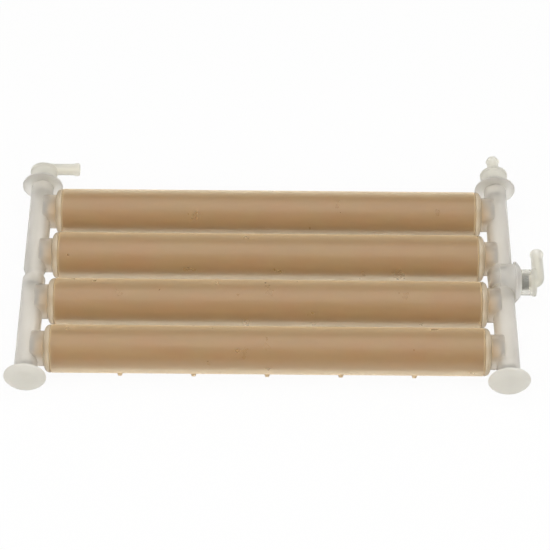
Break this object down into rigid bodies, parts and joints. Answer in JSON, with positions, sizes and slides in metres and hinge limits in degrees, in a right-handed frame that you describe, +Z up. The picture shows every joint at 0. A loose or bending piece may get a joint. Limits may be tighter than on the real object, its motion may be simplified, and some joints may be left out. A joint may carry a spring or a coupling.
{
  "type": "air stone bank",
  "caption": "Flat bank of frosted tubes with porous air stone cores, laid side by side between two header pipes with swivelling hose barbs.",
  "frame": {"origin": "under the middle of the part's box, on the surface that the tubes lie on", "axes": "+X along the tubes towards the side tee, +Y towards the rear hose fittings, +Z up"},
  "size_m": [0.2876, 0.1598, 0.0254],
  "materials": {
    "frosted_shell": "frosted, see-through, semi-gloss",
    "porous_stone": "fine-grained, porous, matte",
    "tube_cap": "milky, semi-gloss",
    "milky_plastic": "milky, semi-gloss",
    "fitting_plastic": "milky, more see-through, semi-gloss",
    "rubber": "matte dark grey"
  },
  "bodies": {
    "bank": {"tube_shell_1": "frosted_shell", "tube_shell_2": "frosted_shell", "tube_shell_3": "frosted_shell", "tube_shell_4": "frosted_shell", "porous_core_1": "porous_stone", "porous_core_2": "porous_stone", "porous_core_3": "porous_stone", "porous_core_4": "porous_stone", "tube_cap_left_1": "tube_cap", "tube_cap_left_2": "tube_cap", "tube_cap_left_3": "tube_cap", "tube_cap_left_4": "tube_cap", "tube_cap_right_1": "tube_cap", "tube_cap_right_2": "tube_cap", "tube_cap_right_3": "tube_cap", "tube_cap_right_4": "tube_cap", "neck_ring_left_1": "rubber", "neck_ring_left_2": "rubber", "neck_ring_left_3": "rubber", "neck_ring_left_4": "rubber", "neck_ring_right_1": "rubber", "neck_ring_right_2": "rubber", "neck_ring_right_3": "rubber", "neck_ring_right_4": "rubber", "header_left_front": "milky_plastic", "header_left_rear": "milky_plastic", "header_right_front": "milky_plastic", "header_right_rear": "milky_plastic", "side_tee": "milky_plastic", "joint_ring_left": "rubber", "tee_ring_front": "rubber", "tee_ring_rear": "rubber", "nipple_left": "milky_plastic", "nipple_right": "milky_plastic", "nipple_ring_left": "rubber", "nipple_ring_right": "rubber", "cup_seal_left": "rubber", "cup_seal_right": "rubber", "cup_seal_side": "rubber"},
    "elbow_left": {"elbow_fitting_left": "fitting_plastic"},
    "barb_right": {"straight_fitting_right": "fitting_plastic"},
    "elbow_side": {"elbow_fitting_side": "fitting_plastic"},
    "plug_left": {"end_plug_left": "milky_plastic", "plug_ring_left": "rubber"},
    "plug_right": {"end_plug_right": "milky_plastic", "plug_ring_right": "rubber"}
  },
  "joints": [
    {"name": "left_elbow_swivel", "type": "hinge", "parent": "bank", "child": "elbow_left", "pos_m": [-0.1327, 0.0634, 0.0127], "axis": [0, 1, 0], "continuous": true},
    {"name": "right_barb_swivel", "type": "hinge", "parent": "bank", "child": "barb_right", "pos_m": [0.1203, 0.0634, 0.0127], "axis": [0, 1, 0], "continuous": true},
    {"name": "side_elbow_swivel", "type": "hinge", "parent": "bank", "child": "elbow_side", "pos_m": [0.1345, -0.0104, 0.0127], "axis": [1, 0, 0], "continuous": true},
    {"name": "left_plug_pull", "type": "slide", "parent": "bank", "child": "plug_left", "axis": [0, -1, 0], "range_m": [0, 0.0075]},
    {"name": "right_plug_pull", "type": "slide", "parent": "bank", "child": "plug_right", "axis": [0, -1, 0], "range_m": [0, 0.0075]}
  ]
}
